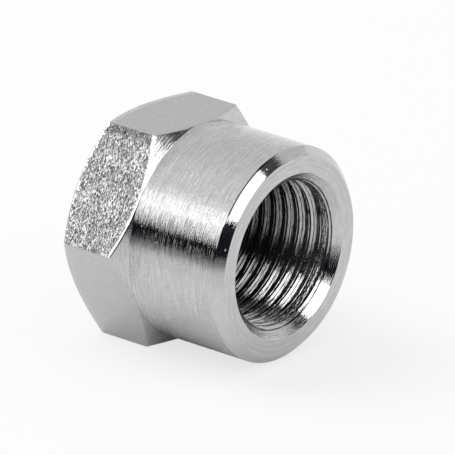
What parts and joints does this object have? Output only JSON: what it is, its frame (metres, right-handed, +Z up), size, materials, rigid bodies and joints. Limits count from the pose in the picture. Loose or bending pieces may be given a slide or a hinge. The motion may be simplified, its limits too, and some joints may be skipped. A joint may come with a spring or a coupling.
{
  "type": "threaded protection cap",
  "caption": "Hexagonal closed-end metal cap with a round turned body and a blind internal thread, screwed over a threaded end to protect and close it.",
  "frame": {"origin": "on the surface that the cap lies on, below the middle of its length", "axes": "+X along the bore's axis, out of the mouth; +Z up, square to the hexagon flat that the cap lies on; the hexagon's corners are across Y"},
  "size_m": [0.0166, 0.022, 0.019],
  "materials": {
    "plated_steel": "bright plated steel, turned, with saw-bright hexagon flats"
  },
  "bodies": {
    "root": {"protection_cap": "plated_steel"}
  },
  "joints": []
}
